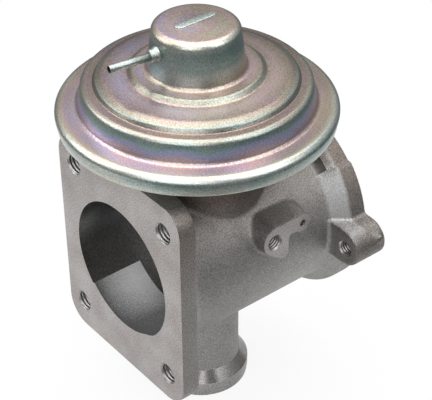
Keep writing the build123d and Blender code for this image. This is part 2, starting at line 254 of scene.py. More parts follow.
def pedestal_shade_mask(tree, place):
    """Painted shade on the pedestal round the valve axis, from halfway up the duct."""
    off_axis = vector_maths(tree, "SUBTRACT", place, (0, VALVE_Y * MM, 0))
    across = vector_maths(tree, "MULTIPLY", off_axis, (1, 1, 0))
    radius = vector_maths(tree, "LENGTH", across, output="Value")
    high_up = edge(tree, components(tree, place)["Z"], 18, 30)
    return maths(tree, "MULTIPLY", high_up, edge(tree, radius, 29, 24))


def ground_and_lit_ramp_mask(tree, place):
    """The upper part of the collar's ramp, on both sides, which is ground, and partly painted light as it
    faces the front.
    """
    _, y, z = components(tree, place)
    along = maths(tree, "SUBTRACT", edge(tree, y, 67.2, 68.4), edge(tree, y, 73.0, 74.2))
    upright = maths(tree, "SUBTRACT", edge(tree, z, 5, 9), edge(tree, z, 21, 25))
    return maths(tree, "MULTIPLY", along, upright)


def side_shade_mask(tree, place):
    """The right sides of lug and flange, and the collar's band, darkened by painted shade."""
    x, y, _ = components(tree, place)
    lug_side, flange_side = edge(tree, y, 65, 68, 0.8), edge(tree, y, 8.5, 7, 0.65)
    sides = maths(tree, "MULTIPLY", edge(tree, x, 32, 35), maths(tree, "MAXIMUM", lug_side, flange_side))
    return maths(tree, "MAXIMUM", sides, edge(tree, y, 73.6, 74.8, 0.8))


def casting_light_and_ramp(tree, place, tone):
    """Painted warm reflection, painted shade and the ground ramp, one over the other."""
    # Painted warm reflection of the capsule, stronger higher up.
    painted_warm_reflection = climb(tree, components(tree, place)["Z"], 5 * MM, 36 * MM, high=0.45)
    tone = mix_colours(tree, painted_warm_reflection, tone, (1.0, 0.80, 0.72), "MULTIPLY")
    # Painted shade below the capsule, slightly warm.
    tone = mix_colours(tree, pedestal_shade_mask(tree, place), tone, (0.55, 0.50, 0.48), "MULTIPLY")
    # Painted shade on the right sides and the collar's band.
    tone = mix_colours(tree, side_shade_mask(tree, place), tone, (0.66, 0.60, 0.57), "MULTIPLY")
    # The ramp is ground lighter, and partly painted light.
    return mix_colours(tree, ground_and_lit_ramp_mask(tree, place), tone, (0.56, 0.565, 0.56))


def pad_shade_at_mouth(tree, place, tone):
    """Painted shade on the pad in the bore, darker towards the open end and up the right wall."""
    x, y, _ = components(tree, place)
    off_wall = climb(tree, x, 3 * MM, -13 * MM, low=0.1, easing="LINEAR")
    painted_lighting = maths(tree, "MULTIPLY", edge(tree, y, 0, 14), off_wall)
    # Painted shade, darkest at the open end and on the right.
    return mix_colours(tree, painted_lighting, mix_colours(tree, 1.0, tone, (0.12, 0.12, 0.12), "MULTIPLY"), tone)


# The warm tint is painted reflection, the pedestal, sides, collar and mouth get painted shade, and the ramp
# is ground and partly painted light.
print("marks: warm, soot, hands, ground ramp, dirt")

# %% [markdown]
# ## Cast and machined aluminium
# The casting is shot-blasted, which leaves a matt grey skin of tiny overlapping dents. A metal
# shader with high roughness and a fine noise bump gives the dents, and a slow noise varies the
# grey a little. An image of cast metal would show its seams on such a form. Milled, turned and
# tapped faces, the clamp rim's cone and the blasted pad have their own finishes, and the cutters
# below hand theirs to the faces they cut. The cone is turned finer than the rest, so that lamps
# draw a glint on it.


# %% Aluminium finishes
def aluminium(name, dark, light, roughness, grain_mm, grain_depth, patch_mm=22, metallic=1.0, tone_changes=None):
    """Metal whose grey drifts between two tones, with a fine grain; a given function may change its tone
    with painted light and shade.
    """
    finish, tree, shader = new_finish(name, roughness, metallic)
    place = object_place(tree)
    tone = ramp(tree, noise(tree, place, patch_mm, 3), [(0.35, dark), (0.65, light)])
    if tone_changes:
        tone = tone_changes(tree, place, tone)
    speck = noise(tree, place, grain_mm, 1)
    speckled = mix_colours(tree, 0.5, tone, ramp(tree, speck, [(0.36, 0.15), (0.64, 0.9)]), "SOFT_LIGHT")
    tree.links.new(speckled, shader.inputs["Base Color"])
    raise_surface(tree, shader, speck, grain_depth)
    return finish


cast_skin = aluminium("cast_skin", (0.27, 0.265, 0.255), (0.34, 0.335, 0.325), 0.52, 0.45, 0.16,
                      tone_changes=casting_light_and_ramp)
milled_face = aluminium("milled_face", (0.345, 0.316, 0.303), (0.43, 0.408, 0.398), 0.46, 0.50, 0.03,
                        patch_mm=13)
turned_metal = aluminium("turned_metal", (0.28, 0.275, 0.27), (0.38, 0.375, 0.37), 0.30, 0.50, 0.03)
tapped_metal = aluminium("tapped_metal", (0.30, 0.29, 0.28), (0.42, 0.41, 0.40), 0.36, 0.30, 0.03)
# The cone's dark grey is partly its own and partly painted shade below the duct.
cone_metal = aluminium("cone_metal", (0.20, 0.195, 0.19), (0.30, 0.292, 0.28), 0.20, 0.30, 0.02)
# The pad's very light grey is partly its rough cast skin and partly painted light, as light falling into
# the bore.
blasted_pad = aluminium("blasted_pad", (0.80, 0.80, 0.805), (0.92, 0.92, 0.925), 0.50, 0.45, 0.14,
                        metallic=0.25, tone_changes=pad_shade_at_mouth)
blasted_pad.node_tree.nodes["Principled BSDF"].inputs["Specular IOR Level"].default_value = 0.15
finishes = [cast_skin, milled_face, turned_metal, tapped_metal, blasted_pad, cone_metal]
CAST, MILLED, TURNED, TAPPED, PAD, CONE = range(len(finishes))
print("made", ", ".join(finish.name for finish in finishes))

# %% [markdown]
# ## Shells of points
# Nearly every form here is either turned (a profile swept round an axis) or extruded (an outline
# pushed along an axis). Both could be drawn with modifiers, but plain lists of points and faces
# are easier to place exactly and to join. Each helper returns such a shell. Its place function
# says how the drawing lies on the part.


# %% Shell helpers
def up_valve(u, v, w):
    """Across the valve axis, and up along it."""
    return (u, v + VALVE_Y, w)


def along_duct(u, v, w):
    """Across the duct, and along it."""
    return (u, w, v)


def out_right(u, v, w):
    """Drawn on the right side of the duct, and out from it."""
    return (w, u, v)


def turned(profile, place, segments=128, first=0.0, sweep=360.0):
    """Sweep a closed profile of (radius, height) about an axis."""
    closed = sweep >= 360
    rings = segments if closed else segments + 1
    points, faces = [], []
    for i in range(rings):
        a = math.radians(first + sweep * i / segments)
        points += [place(r * math.cos(a), r * math.sin(a), h) for r, h in profile]
    n = len(profile)
    for i in range(segments):
        a, b = i * n, (i + 1) % rings * n
        faces += [(a + j, a + (j + 1) % n, b + (j + 1) % n, b + j) for j in range(n)]
    if not closed:
        faces += [tuple(range(n)), tuple(range((rings - 1) * n, rings * n))]
    return points, faces


def stacked(rings):
    """A closed shell over rings of as many points each, one after the other."""
    n = len(rings[0])
    points = [point for ring in rings for point in ring]
    faces = [(base + i, base + (i + 1) % n, base + n + (i + 1) % n, base + n + i)
             for base in range(0, len(points) - n, n) for i in range(n)]
    return points, faces + [tuple(range(n)), tuple(range(len(points) - n, len(points)))]


def extruded(outline, place, start, end, end_outline=None):
    """Push an outline along an axis, to another outline of as many points if one is given."""
    return stacked([[place(u, v, start) for u, v in outline],
                    [place(u, v, end) for u, v in end_outline or outline]])


print("shell helpers ready")

# %% [markdown]
# One function makes an object from several shells. Two more apply modifiers and cut one object with
# another. The boolean with the fast manifold solver keeps the cutter's own finish on the faces that
# it leaves, so a milled face looks milled without any mask.


# %% Object helpers
def piece(name, shells, finishes, paint=0):
    """One object from several shells, in metres, with its normals outwards."""
    mesh = bpy.data.meshes.new(name)
    points, faces = [], []
    for shell_points, shell_faces in shells:
        base = len(points)
        points += [[c * MM for c in p] for p in shell_points]
        faces += [[base + i for i in f] for f in shell_faces]
    mesh.from_pydata(points, [], faces)
    form = bmesh.new()
    form.from_mesh(mesh)
    bmesh.ops.remove_doubles(form, verts=form.verts, dist=1e-6)
    bmesh.ops.recalc_face_normals(form, faces=form.faces)
    form.to_mesh(mesh)
    form.free()
    for finish in finishes:
        mesh.materials.append(finish)
    mesh.polygons.foreach_set("material_index", [paint] * len(mesh.polygons))
    made = bpy.data.objects.new(name, mesh)
    bpy.context.scene.collection.objects.link(made)
    return made


def apply_modifiers(made):
    """Turn an object's modifiers into its mesh."""
    bpy.context.view_layer.update()
    shape = bpy.data.meshes.new_from_object(made.evaluated_get(bpy.context.evaluated_depsgraph_get()))
    made.modifiers.clear()
    made.data = shape


def cut(body, cutter):
    """Cut a body with a cutter, which hands its finish to the faces that it cuts."""
    step = body.modifiers.new("cut", "BOOLEAN")
    step.object = cutter
    step.operation = "DIFFERENCE"
    step.solver = "MANIFOLD"
    apply_modifiers(body)
    bpy.data.objects.remove(cutter)


def cut_turned(body, profile, place, segments=128, paint=TURNED):
    """Cut away the form that a profile sweeps round an axis."""
    cut(body, piece("cutter", [turned(profile, place, segments)], finishes, paint))


def smooth(made, sharp_angle=35):
    """Shade a mesh smooth, apart from its real edges."""
    made.data.shade_smooth()
    made.data.set_sharp_from_angle(angle=math.radians(sharp_angle))


print("object helpers ready")

# %% [markdown]
# ## Outlines
# Pressed and cast forms have no sharp corners, so an outline is given by its corners and a radius
# for each. The helper puts a short arc at every corner. The flange and the small bosses are all
# made of such outlines or of circles wrapped by a tight band.


# %% Outline helpers
def arc(centre, radius, start, end, steps):
    """Points on an arc, with its angles in degrees."""
    spread = [math.radians(start + (end - start) * i / steps) for i in range(steps + 1)]
    return [(centre[0] + radius * math.cos(a), centre[1] + radius * math.sin(a)) for a in spread]


def circle(centre, radius, steps=64):
    """The points of a full circle, each once."""
    return arc(centre, radius, 0, 360, steps)[:-1]


def bent(points, radii, turn=7.0):
    """An open line with an arc at each of its corners, in steps of about that many degrees."""
    line = [points[0]]
    for before, corner, after, radius in zip(points, points[1:], points[2:], radii):
        p, a, b = Vector(corner), Vector(before), Vector(after)
        u, v = (a - p).normalized(), (b - p).normalized()
        half = u.angle(v) / 2
        centre = p + (u + v).normalized() * (radius / math.sin(half))
        start, end = p + u * (radius / math.tan(half)), p + v * (radius / math.tan(half))
        first = math.atan2(*(start - centre).yx)
        sweep = (math.atan2(*(end - centre).yx) - first + math.pi) % (2 * math.pi) - math.pi
        steps = max(2, round(abs(math.degrees(sweep)) / turn))
        line += arc(centre, radius, math.degrees(first), math.degrees(first + sweep), steps)
    return line + [points[-1]]


def rounded_rectangle(width, height, radius, steps=10):
    """A rectangle about the origin, with an arc at each corner."""
    corners = [(1, 1, 0), (-1, 1, 90), (-1, -1, 180), (1, -1, 270)]
    outline = []
    for sx, sy, start in corners:
        centre = (sx * (width / 2 - radius), sy * (height / 2 - radius))
        outline += arc(centre, radius, start, start + 90, steps)
    return outline


def wrapped(first, first_r, second, second_r, steps=24):
    """The outline of a tight band round two circles."""
    a, b = Vector(first), Vector(second)
    along = math.degrees(math.atan2(*(b - a).yx))
    lean = math.degrees(math.acos((first_r - second_r) / (b - a).length))
    near = arc(first, first_r, along + lean, along + 360 - lean, steps)
    return near + arc(second, second_r, along - lean, along + lean, steps)


print("outline helpers ready")

# %% [markdown]
# ## The raw casting
# The body is cast solid in this lesson, as overlapping simple shells: flange, duct, collar with
# its raised band, pedestal, port neck, bracket boss and lug. A voxel remesh melts them into one
# skin, and a smoothing pass then rounds every edge and fills every inner corner, as on a real sand
# casting. Bevels could round single edges, but not the places where several forms meet. Every face
# that will be machined stands a little proud, so that the cutter later leaves a crisp edge.

# %% Raw casting
ALLOWANCE = 0.8
COLLAR_R, BAND_R, BAND_INNER_R, FLANGE_ROOT_R = 34.9, 36.0, 28.0, 33.2
PEDESTAL_R, NECK_R, CLAMP_RIM_R, CLAMP_CONE_TOP = 23.5, 13.9, 18.2, -53.4
raw_rear, raw_top, raw_foot = REAR + ALLOWANCE, PEDESTAL_TOP + ALLOWANCE, PORT_END - ALLOWANCE

flange_outline = rounded_rectangle(FLANGE_WIDTH, FLANGE_HEIGHT + ALLOWANCE, FLANGE_CORNER_R)
flange = extruded(flange_outline, along_duct, -ALLOWANCE, FLANGE_THICKNESS)
duct = turned([(0, 1), (FLANGE_ROOT_R, 1), (FLANGE_ROOT_R, 7.2), (31.9, 8.0), (DUCT_R, 9.4),
               (DUCT_R, RAMP_FOOT), (COLLAR_R, RAMP_TOP), (COLLAR_R, raw_rear), (0, raw_rear)], along_duct)
band = turned([(BAND_INNER_R, RAMP_FOOT), (DUCT_R, RAMP_FOOT), (BAND_R, RAMP_TOP), (BAND_R, raw_rear),
               (BAND_INNER_R, raw_rear)], along_duct, segments=96, first=138, sweep=264)
pedestal = turned([(0, 0), (PEDESTAL_R, 0), (PEDESTAL_R, raw_top), (0, raw_top)], up_valve)
neck = turned([(0, 0), (NECK_R, 0), (NECK_R, CLAMP_CONE_TOP), (CLAMP_RIM_R, -56.5), (CLAMP_RIM_R, raw_foot),
               (0, raw_foot)], up_valve)
print("flange outline points:", len(flange_outline), "and four turned shells")

# %% [markdown]
# The boss on the right is a big round heel wrapped to a small toe, with an arm to a small tip. Each
# part is drafted: it grows towards its root by the tangent of seven degrees. The lug beside the
# collar is a half-round tongue, with the stub at its tip where the casting was broken off its gate.

# %% Boss and lug
BOSS_DEPTH, DRAFT = 14.0, math.tan(math.radians(7))
HEEL, HEEL_R, TOE, TOE_R, TIP, TIP_R = (40.2, 13.0), 5.5, (43.4, 6.3), 2.3, (51.8, 14.9), 3.4
ARM_LOW, ARM_HIGH = 12.6, 18.4
LUG_CENTRE, LUG_R, LUG_ROOT = (38.9, -0.3), 6.9, 10.0
GATE_Y, GATE_Z, GATE_START, GATE_END = 77.6, 2.6, 43.0, 46.5


def boss_part(outline_at):
    """A drafted part of the boss, from a little above its face down to its root."""
    top, root = outline_at(-ALLOWANCE * DRAFT), outline_at(BOSS_DEPTH * DRAFT)
    return extruded(top, out_right, BOSS_FACE + ALLOWANCE, BOSS_FACE - BOSS_DEPTH, root)


def arm_at(grow):
    """The arm's outline between heel and tip."""
    low, high = ARM_LOW - grow, ARM_HIGH + grow
    return [(HEEL[0], low), (TIP[0], low), (TIP[0], high), (HEEL[0], high)]


boss = [
    boss_part(lambda grow: wrapped(HEEL, HEEL_R + grow, TOE, TOE_R + grow)),
    boss_part(arm_at),
    boss_part(lambda grow: circle(TIP, TIP_R + grow)),
]
lug_outline = [(LUG_ROOT, -7.2)] + arc(LUG_CENTRE, LUG_R, -90, 90, 24) + [(LUG_ROOT, 6.6)]
lug = extruded(lug_outline, along_duct, LUG_FRONT, raw_rear)
gate_stub = turned([(0, GATE_START), (1.9, GATE_START), (1.5, GATE_END), (0, GATE_END)],
                   lambda u, v, w: (w, GATE_Y + u, GATE_Z + v), 12)
print("boss parts:", len(boss))

# %% [markdown]
# Now the shells melt into one skin. The voxels are small beside the fillets, and the smoothing
# passes are few, so the big forms keep their size.

# %% Melt the shells into one skin
body = piece("cast_body", [flange, duct, band, pedestal, neck, lug, gate_stub] + boss, finishes, CAST)
melt = body.modifiers.new("melt", "REMESH")
melt.mode = "VOXEL"
melt.voxel_size = 0.6 * MM
soften = body.modifiers.new("soften", "SMOOTH")
soften.factor = 0.5
soften.iterations = 7
apply_modifiers(body)
print("skin faces:", len(body.data.polygons))

# %% [markdown]
# ## Machining the casting
# The cutters follow the order of the real work: mill the faces flat, bore the duct, turn the clamp
# rim, then drill and tap.


# %% Milled faces
BESIDE, FAR = 60, 70


def block(low, high, paint=MILLED):
    """A box-shaped cutter between two corners."""
    (x0, y0, z0), (x1, y1, z1) = low, high
    outline = [(x0, y0), (x1, y0), (x1, y1), (x0, y1)]
    return piece("cutter", [extruded(outline, lambda u, v, w: (u, v, w), z0, z1)], finishes, paint)


cut(body, block((-BESIDE, -9, -FAR), (BESIDE, 0, FAR)))
cut(body, block((-BESIDE, REAR, -FAR), (BESIDE, REAR + 9, FAR)))
cut(body, block((-BESIDE, -5, PEDESTAL_TOP), (BESIDE, 90, 60)))
cut(body, block((BOSS_FACE, 28, -4), (BESIDE, 62, 26)))
print("milled: flange face, rear end, pedestal top, boss face")

# %% [markdown]
# The bore is turned right through the duct, except for a cast pad that is left standing on the
# floor at the front, one millimetre high. So the front cutter is a circle with a step in its lower
# part, which fades out to the right, and the rear one is a full circle. The boss that guides the
# valve stem hangs into the bore and is kept by cutting it out of the cutter first.

# %% Bore, pad and guide boss
PAD_R, PAD_END, PAD_HALF_ANGLE = 24.0, 20.0, 46
FADE_START, FADE_STEPS, BORE_OVERLAP = 300, 8, 0.01
GUIDE_R, GUIDE_FOOT, GUIDE_TOP = 9, 19, 30


def at_angle(radius, degrees):
    """A point at a radius and an angle."""
    return (radius * math.cos(math.radians(degrees)), radius * math.sin(math.radians(degrees)))


fade = []
for i in range(1, FADE_STEPS):
    step_height = (BORE_R - PAD_R) * (1 + math.cos(math.pi * i / FADE_STEPS)) / 2
    fade.append(at_angle(BORE_R - step_height, FADE_START + 2 * i))
front_outline = (arc((0, 0), BORE_R, -90 + PAD_HALF_ANGLE, 270 - PAD_HALF_ANGLE, 110)
                 + arc((0, 0), PAD_R, 270 - PAD_HALF_ANGLE, FADE_START, 30) + fade)
front_bore = piece("cutter", [extruded(front_outline, along_duct, -5, PAD_END)], finishes, TURNED)
for face in front_bore.data.polygons:
    around_bore = math.degrees(math.atan2(face.center.z, face.center.x)) % 360
    if abs(around_bore - 270) < PAD_HALF_ANGLE and face.center.xz.length > (PAD_R - 1) * MM:
        face.material_index = PAD
rear_start, rear_end = PAD_END - BORE_OVERLAP, REAR + 5
rear_profile = [(0, rear_start), (BORE_R, rear_start), (BORE_R, rear_end), (0, rear_end)]
rear_bore = piece("cutter", [turned(rear_profile, along_duct, 144)], finishes, TURNED)
guide = [(0, GUIDE_FOOT), (GUIDE_R, GUIDE_FOOT), (GUIDE_R, GUIDE_TOP), (0, GUIDE_TOP)]
cut_turned(rear_bore, guide, up_valve, paint=CAST)
cut(body, front_bore)
cut(body, rear_bore)
print("faces after boring:", len(body.data.polygons))

# %% [markdown]
# Four more turned forms follow: the hose socket, the port with the pocket for its seat, the way for
# the stem and its seal, and the clamp rim below the neck. Socket, port and rim take their radii
# from the frame. The steep cone above the rim gets its own, finer finish.

# %% Socket, port, stem way and clamp rim
SOCKET_R = mounts["hose_socket"]["dims"]["r_mm"]
PORT_R = mounts["port_bore"]["dims"]["r_mm"]
RIM_R = mounts["clamp_rim"]["dims"]["r_mm"]
SOCKET_FLOOR, SOCKET_END, SOCKET_CHAMFER = 65, 81, 2.2
SEAT_R, SEAT_FLOOR, MOUTH_R, MOUTH_FLOOR = 12, -30, 13.5, -26
PORT_ROOF, BUSH_R, BUSH_FOOT, SEAL_R, SEAL_FLOOR = -12, 6, 18, 8, 38
RIM_FOOT_R, CONE_TOP_R, CONE_FOOT, OUTSIDE_R = 17.0, 14.2, -57.3, 20
below, above = PORT_END - 1, PEDESTAL_TOP + 0.5
socket = [(0, SOCKET_FLOOR), (SOCKET_R, SOCKET_FLOOR), (SOCKET_R, SOCKET_END - SOCKET_CHAMFER),
          (SOCKET_R + SOCKET_CHAMFER, SOCKET_END), (0, SOCKET_END)]
cut_turned(body, socket, along_duct, 144)
port = [(0, below), (PORT_R, below), (PORT_R, SEAT_FLOOR), (SEAT_R, SEAT_FLOOR), (SEAT_R, MOUTH_FLOOR),
        (MOUTH_R, MOUTH_FLOOR), (MOUTH_R, PORT_ROOF), (0, PORT_ROOF)]
cut_turned(body, port, up_valve)
stem_way = [(0, BUSH_FOOT), (BUSH_R, BUSH_FOOT), (BUSH_R, SEAL_FLOOR), (SEAL_R, SEAL_FLOOR),
            (SEAL_R, above), (0, above)]
cut_turned(body, stem_way, up_valve)
rim = [(RIM_FOOT_R, PORT_END), (RIM_R, -60.5), (RIM_R, CONE_FOOT), (CONE_TOP_R, CLAMP_CONE_TOP),
       (OUTSIDE_R, CLAMP_CONE_TOP), (OUTSIDE_R, below - 1), (RIM_FOOT_R, below - 1)]
rim_cutter = piece("cutter", [turned(rim, up_valve)], finishes, TURNED)
for face in rim_cutter.data.polygons:
    if face.center.z > (CONE_FOOT + 0.1) * MM:
        face.material_index = CONE
cut(body, rim_cutter)
cut(body, block((-30, 10, -FAR), (30, 60, PORT_END), TURNED))
print("turned: socket, port, stem way, clamp rim")

# %% [markdown]
# ## Threads
# The bolt holes are tapped. From afar a bump would do, but the photograph's angle looks straight
# into them. A thread is a cylinder whose radius rises and falls along a helix, so the cutter is a
# fine grid of points round and along the hole, and a short cone opens its mouth. Places and core
# radii come from the frame.


# %% Thread helpers
def thread(core_r, major_r, pitch, length, place, around=40, per_pitch=8):
    """A threaded rod: its radius follows a helix, with flat crests at the major radius."""
    rows = int(length / pitch * per_pitch) + 1
    rings = []
    for row in range(rows):
        height = length * row / (rows - 1)
        ring = []
        for i in range(around):
            phase = (height / pitch - i / around) % 1
            rise = min(1, max(0, abs(2 * phase - 1) * 1.5 - 0.25))
            radius = core_r + (major_r - core_r) * rise
            a = 2 * math.pi * i / around
            ring.append(place(radius * math.cos(a), radius * math.sin(a), height))
        rings.append(ring)
    return stacked(rings)


def tapped_hole(core_r, pitch, depth, place):
    """Cut a tapped hole; place maps points across the hole and into the metal."""
    thread_depth, chamfer, lead = 0.3, 0.75, 0.6
    major_r, cone_depth = core_r + thread_depth, thread_depth + 0.25
    mouth = [(0, -0.5), (major_r + chamfer, -0.5), (core_r, cone_depth), (0, cone_depth)]
    cut_turned(body, mouth, place, 48, TAPPED)
    rod = thread(core_r, major_r, pitch, depth + lead, lambda u, v, w: place(u, v, w - lead))
    cut(body, piece("cutter", [rod], finishes, TAPPED))


print("thread helpers ready")

# %% [markdown]
# Four M8 holes in the flange hold it to the manifold, and two M6 holes, in the boss and in the lug,
# hold a bracket and a clip. A real hole is drilled, countersunk and tapped, and one call does all of
# it here. The small function in each call turns the hole's own directions into those of the part.

# %% Six tapped holes
M8_PITCH, M6_PITCH = 1.25, 1.0
FLANGE_HOLE, BOSS_HOLE, LUG_HOLE = 8.5, 9.6, 14.5
bolts = mounts["manifold_bolts"]["dims"]
bolt_x, bolt_z = bolts["spacing_x_mm"] / 2, bolts["spacing_y_mm"] / 2
for x in (-bolt_x, bolt_x):
    for z in (-bolt_z, bolt_z):
        tapped_hole(bolts["hole_r_mm"], M8_PITCH, FLANGE_HOLE, lambda u, v, w: (x + u, w, z + v))
M6_CORE_R = mounts["bracket_thread"]["dims"]["r_mm"]
bracket_y, bracket_z = (in_mm(c) for c in mounts["bracket_thread"]["pos_m"][1:])
tapped_hole(M6_CORE_R, M6_PITCH, BOSS_HOLE, lambda u, v, w: (BOSS_FACE - w, bracket_y + u, bracket_z + v))
lug_x, _, lug_z = (in_mm(c) for c in mounts["lug_thread"]["pos_m"])
tapped_hole(M6_CORE_R, M6_PITCH, LUG_HOLE, lambda u, v, w: (lug_x + u, LUG_FRONT + w, lug_z + v))
print("tapped six holes; faces:", len(body.data.polygons))

# %% [markdown]
# Last come a dimple in the boss's tip, the two slots in the collar's band that a hose clip hooks
# into, and the four screw holes of the capsule. The slots face outwards at an angle, so their
# cutter gets two directions of its own.

# %% Dimple, clip slots and screw holes
SLOT_HALF_LENGTH, SLOT_HALF_WIDTH, SLOT_Y, SLOT_R, SLOT_TURN = 2.6, 1.9, 69.2, 29.7, math.radians(47.7)
SCREW_CIRCLE_R, SCREW_R, SCREW_DEPTH, DIMPLE_R = 16, 2, 9, 1.2
dimple = [(0, BOSS_FACE + 0.5), (DIMPLE_R + 0.3, BOSS_FACE + 0.5), (DIMPLE_R, BOSS_FACE - 0.3),
          (DIMPLE_R, BOSS_FACE - 1.4), (0, BOSS_FACE - 2)]
cut_turned(body, dimple, lambda u, v, w: (w, TIP[0] + u, TIP[1] + v), 32, CAST)
slot_outline = [(sx * SLOT_HALF_LENGTH, sy * SLOT_HALF_WIDTH)
                for sx, sy in ((-1, -1), (1, -1), (1, 1), (-1, 1))]
for side in (1, -1):
    across = Vector((side * math.cos(SLOT_TURN), 0, math.sin(SLOT_TURN)))
    tall = Vector((-side * math.sin(SLOT_TURN), 0, math.cos(SLOT_TURN)))
    slot = extruded(slot_outline, lambda u, v, w: tuple(tall * u + across * w + Vector((0, SLOT_Y + v, 0))),
                    SLOT_R, 50)
    cut(body, piece("cutter", [slot], finishes, TAPPED))
tip, tail = PEDESTAL_TOP - SCREW_DEPTH, PEDESTAL_TOP + 1.5
drill = [(0, tip), (SCREW_R, tip), (SCREW_R, tail), (0, tail)]
for turn in (45, 135, 225, 315):
    x, y = at_angle(SCREW_CIRCLE_R, turn)
    cut_turned(body, drill, lambda u, v, w: up_valve(u + x, v + y, w), 24)
smooth(body)
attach(body, "housing")
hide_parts("valve_body")
print("cast body:", len(body.data.polygons), "faces")

# %% [markdown]
# ## Iridescent plating
# The steel is zinc plated and passivated. The passivation is a film as thin as a soap bubble, so
# it shows pinks, greens and violets that change with its thickness, which is not the same on the
# flats and on the bends. The shader has a thin-film setting of its own, but in a ramp each tint can
# be matched. The colours come round again as the film grows, so the finish looks up only the
# fraction of the thickness. A slow noise shifts the thickness, and another one dulls the metal in
# broad patches.

# %% Plated steel
FILM_TINTS = [
    (0.00, (0.45, 0.48, 0.455)), (0.12, (0.44, 0.45, 0.38)), (0.27, (0.43, 0.36, 0.29)),
    (0.41, (0.45, 0.35, 0.34)), (0.55, (0.39, 0.33, 0.39)), (0.68, (0.33, 0.35, 0.52)),
    (0.82, (0.25, 0.37, 0.345)), (1.00, (0.45, 0.48, 0.455))]
WANDER_MM, PATCH_MM, GRAIN_MM, GRAIN_DEPTH = 16, 26, 0.45, 0.055


def stored(tree, attribute):
    """The value that a mesh stores at each of its points."""
    return node(tree, "ShaderNodeAttribute", attribute_name=attribute).outputs["Fac"]


def plated(name, film, wandering, painted_lighting=None):
    """Plated steel; film is the name of a stored thickness, or a number, and the last argument names a
    stored tone of painted light and shade.
    """
    finish, tree, shader = new_finish(name, 0.29)
    place = object_place(tree)
    wander = maths(tree, "MULTIPLY", maths(tree, "SUBTRACT", noise(tree, place, WANDER_MM), 0.5), wandering)
    even = stored(tree, film) if isinstance(film, str) else film
    thickness = maths(tree, "FRACT", maths(tree, "ADD", maths(tree, "ADD", wander, even), 1.0))
    patches = ramp(tree, noise(tree, place, PATCH_MM, 1), [(0.35, 0.85), (0.60, 1.0)])
    tint = mix_colours(tree, 1.0, ramp(tree, thickness, FILM_TINTS), patches, "MULTIPLY")
    # Painted light and shade: a stored tone scales the tint.
    if painted_lighting:
        tone = {0: tint, "Scale": stored(tree, painted_lighting)}
        tint = node(tree, "ShaderNodeVectorMath", tone, operation="SCALE").outputs[0]
    grain = noise(tree, place, GRAIN_MM, 0)
    shade = mix_colours(tree, 0.35, tint, ramp(tree, grain, [(0.36, 0.1), (0.64, 0.95)]), "SOFT_LIGHT")
    tree.links.new(shade, shader.inputs["Base Color"])
    raise_surface(tree, shader, grain, GRAIN_DEPTH)
    return finish


# The cover's tint is scaled by its stored tone of painted light and shade.
plated_cover = plated("plated_cover", "film", 0.5, painted_lighting="film_tone")
plated_small = plated("plated_small", -0.03, 0.1)
print("made", plated_cover.name, plated_small.name)

# %% [markdown]
# ## The capsule cover
# The cover is one pressed sheet: a deep cap for the spring, a plateau, a step down to a flat ring,
# and a rim that is rolled round the diaphragm. Its profile is a line with a small radius at every
# bend. The inner side is the same line, moved in by the thickness of the sheet, and the whole is
# turned about the valve axis. The line is cut into short pieces, because the film's thickness is
# stored at its points.


# %% Capsule cover
def inner_side(points, thickness):
    """The corners of a line moved to its right by a thickness."""
    moved = []
    legs_along = [Vector(b) - Vector(a) for a, b in zip(points, points[1:])]
    for i, corner in enumerate(points):
        legs = legs_along[max(i - 1, 0):i + 1]
        sides = [Vector((leg.y, -leg.x)).normalized() for leg in legs]
        push = sum(sides, Vector((0, 0)))
        moved.append(tuple(Vector(corner) + push * (thickness / (push @ sides[0]))))
    return moved


def finer(line, step):
    """The same line with points added along its long straight legs."""
    points = [line[0]]
    for (u0, v0), (u1, v1) in zip(line, line[1:]):
        parts = max(1, round(math.dist((u0, v0), (u1, v1)) / step))
        points += [(u0 + (u1 - u0) * i / parts, v0 + (v1 - v0) * i / parts) for i in range(1, parts + 1)]
    return points


SHEET, CAP_TOP, PLATEAU, STEP_TOP, RING, RIM_FOOT = 1.1, 83.1, 67.4, 62.9, 54.9, 48.0
cover_line = [(0, CAP_TOP), (14.3, CAP_TOP), (16.3, PLATEAU), (21.3, PLATEAU), (22.9, 65.9), (31.0, 65.45),
              (33.3, 64.4), (34.1, STEP_TOP), (38.0, STEP_TOP), (39.6, RING), (47.55, RING),
              (46.3, RIM_FOOT), (43.6, RIM_FOOT)]
bend_radii = [2.6, 1.6, 1.6, 1.2, 4.0, 1.0, 0.4, 1.9, 1.5, 2.4, 1.2]
outside = finer(bent(cover_line, bend_radii, 5.0), 0.9)
inside = inner_side(cover_line, SHEET)
cover = piece("capsule_cover", [turned(outside + inside[::-1], up_valve, 240)], [plated_cover])
print("cover profile points:", len(outside))

# %% [markdown]
# The cover is turned, so a place on it is a radius and a level. The table lists, from the top of
# the cap down to the rim, how thick the film is, how much thicker it gets towards one side, and a
# tone of painted light and shade, which makes some bands lighter and others darker. Each point of
# the mesh takes its values from the two nearest rows and keeps them as attributes, which the finish
# reads.

